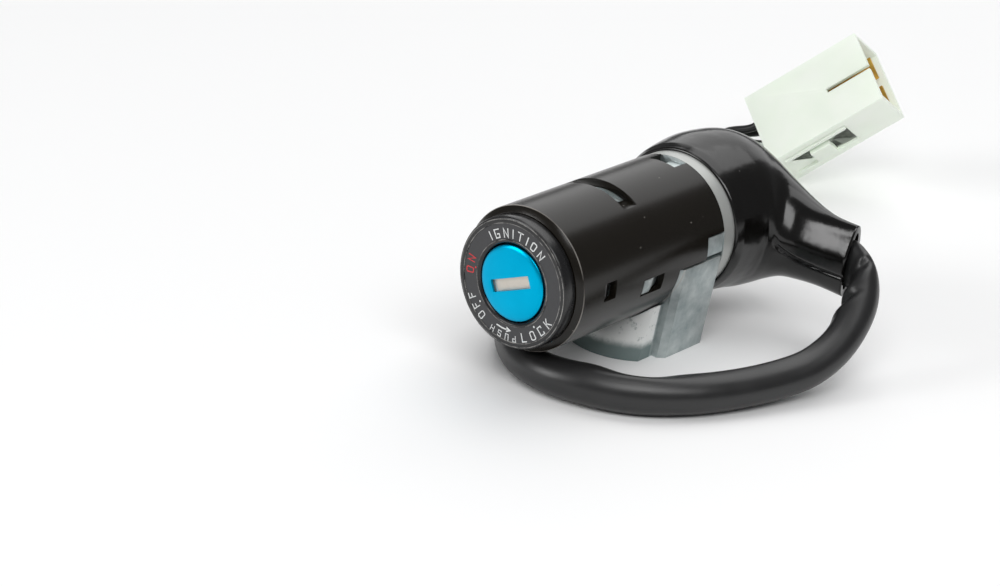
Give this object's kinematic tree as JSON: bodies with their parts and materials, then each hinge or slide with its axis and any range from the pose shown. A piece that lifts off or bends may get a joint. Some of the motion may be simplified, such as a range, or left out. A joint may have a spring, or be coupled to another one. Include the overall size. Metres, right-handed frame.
{
  "type": "motorcycle ignition switch",
  "caption": "Ignition switch with a key barrel in a black cover, a labelled bezel, a steering lock bolt in a cast foot, a rear cable boot, and a harness with a connector.",
  "frame": {"origin": "middle of the two tapped holes, on the foot's mounting face", "axes": "+Y along the lock axis from the key face to the boot, +X to the right of the label, +Z from the mounting face up to the lock axis"},
  "size_m": [0.1036, 0.1715, 0.0415],
  "materials": {
    "zinc": "zinc die casting, plated, matt",
    "black_cover": "satin",
    "black_trim": "semi-gloss",
    "label": "printed, matt",
    "blue_cap": "blue anodised",
    "shutter_metal": "satin",
    "steel": "plated",
    "brass": "machined",
    "nylon": "moulded",
    "phenolic": "moulded",
    "boot_rubber": "glossy soft PVC",
    "sleeve_pvc": "satin",
    "wire_pvc": "satin",
    "milky_nylon": "translucent"
  },
  "bodies": {
    "housing": {"lock_housing": "zinc", "cover": "black_cover", "bezel": "black_trim", "label_ring": "label", "retaining_plate": "steel", "contact_base": "phenolic", "fixed_contacts": "brass", "base_screws": "steel", "boot": "boot_rubber", "leads": "wire_pvc", "sleeve": "sleeve_pvc", "wires": "wire_pvc", "connector": "milky_nylon", "terminals": "brass"},
    "rotor": {"cam": "zinc", "contact_carrier": "nylon", "contact_bridge": "brass", "contact_springs": "steel", "detent_balls": "steel", "detent_springs": "steel", "push_spring": "steel"},
    "plug": {"plug": "brass", "key_cap": "blue_cap", "wafers": "brass", "wafer_springs": "steel", "shutter_pin": "steel", "shutter_spring": "steel"},
    "shutter": {"shutter": "shutter_metal"},
    "bolt": {"lock_bolt": "steel"}
  },
  "joints": [
    {"name": "key_turn", "type": "hinge", "parent": "housing", "child": "rotor", "pos_m": [0, 0, 0.0235], "axis": [0, 1, 0], "range_deg": [-108, 23.5]},
    {"name": "key_push", "type": "slide", "parent": "rotor", "child": "plug", "axis": [0, 1, 0], "range_m": [0, 0.003], "stiffness_N_per_m": 600, "springref_m": -0.003, "deforming": ["push_spring"]},
    {"name": "shutter_swing", "type": "hinge", "parent": "plug", "child": "shutter", "pos_m": [0.00103, -0.04445, 0.02101], "axis": [-0.9239, 0, -0.3827], "range_deg": [0, 82], "stiffness_Nm_per_rad": 0.0004, "springref_deg": -34.38, "deforming": ["shutter_spring"]},
    {"name": "bolt_slide", "type": "slide", "parent": "housing", "child": "bolt", "axis": [0, 0, 1], "range_m": [-0.00629, 0.00137]}
  ],
  "couplings": [
    {"joint": "key_turn", "follows": "bolt_slide", "rad_per_m": 299.67}
  ]
}
